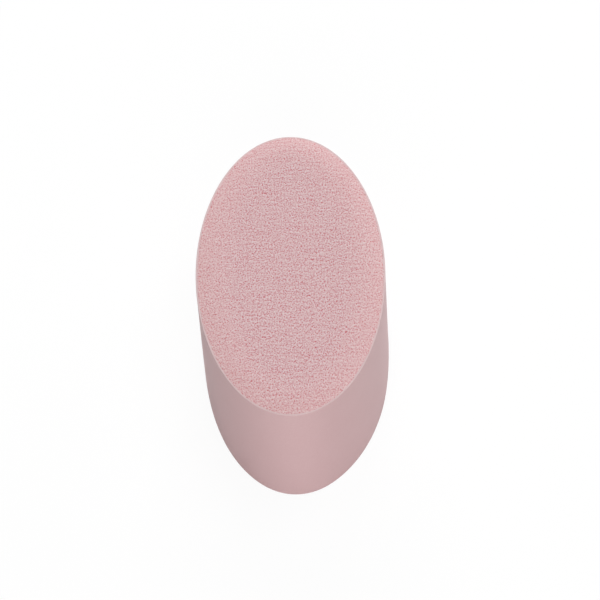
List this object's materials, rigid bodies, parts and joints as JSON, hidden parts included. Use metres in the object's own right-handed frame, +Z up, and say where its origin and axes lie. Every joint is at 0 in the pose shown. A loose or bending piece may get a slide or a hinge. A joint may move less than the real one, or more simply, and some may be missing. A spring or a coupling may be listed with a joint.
{
  "type": "makeup sponge",
  "caption": "Thick oval makeup sponge with straight smooth sides, a thin lip and a soft open-textured oval applicator face.",
  "frame": {"origin": "middle of the oval, on the closed back that the sponge rests on", "axes": "+Y along the oval's length, +X across it, +Z up through the thickness to the applicator face"},
  "size_m": [0.04, 0.076, 0.0282],
  "materials": {
    "skin": "smooth satin-matte moulded foam skin, dusty pink",
    "core": "open-cell foam, matte, paler pink",
    "bond": "thin translucent adhesive film, satin",
    "pad": "fine open-celled foam, velvety matte, dusty pink with small deeper pink pits"
  },
  "bodies": {
    "root": {"outer_skin": "skin", "foam_core": "core", "bond_film": "bond", "face_pad": "pad"}
  },
  "joints": []
}
